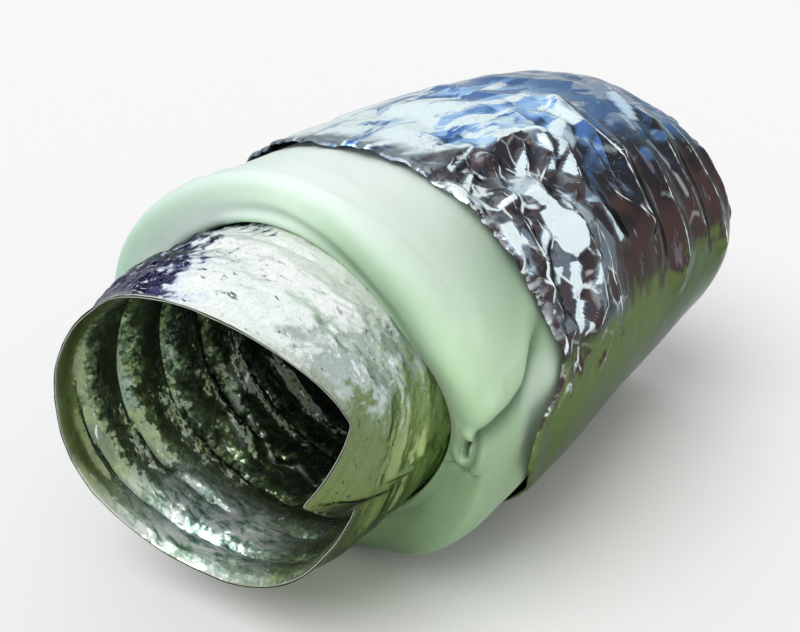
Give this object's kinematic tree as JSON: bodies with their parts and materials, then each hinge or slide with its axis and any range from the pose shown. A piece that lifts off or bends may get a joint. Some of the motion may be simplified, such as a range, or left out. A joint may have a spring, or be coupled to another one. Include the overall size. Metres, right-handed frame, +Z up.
{
  "type": "flexible air duct",
  "caption": "Short length of round insulated flexible duct: spring-wire film core, fibre blanket and loose film jacket, with one end opened for connection.",
  "frame": {"origin": "centre of the core's mouth, on the cut edge of the inner film", "axes": "+X out of the mouth along the core, +Z up as the duct lies on a floor"},
  "size_m": [0.33, 0.2256, 0.2175],
  "materials": {
    "inner_ply": "creased bright metallised film on the air side of the core",
    "wire_helix": "drawn spring steel wire with a dull copper-grey finish",
    "outer_ply": "finely crumpled bright metallised film",
    "insulation_blanket": "soft bonded fibre, white with a pale green tint",
    "jacket": "bright metallised film, creased and faceted, with a torn edge"
  },
  "bodies": {
    "core": {"inner_ply": "inner_ply", "wire_helix": "wire_helix", "outer_ply": "outer_ply"},
    "blanket": {"insulation_blanket": "insulation_blanket"},
    "jacket": {"jacket": "jacket"}
  },
  "joints": [
    {"name": "blanket_slide", "type": "slide", "parent": "core", "child": "blanket", "axis": [1, 0, 0], "range_m": [0, 0.07]},
    {"name": "jacket_slide", "type": "slide", "parent": "blanket", "child": "jacket", "axis": [1, 0, 0], "range_m": [0, 0.04]}
  ]
}
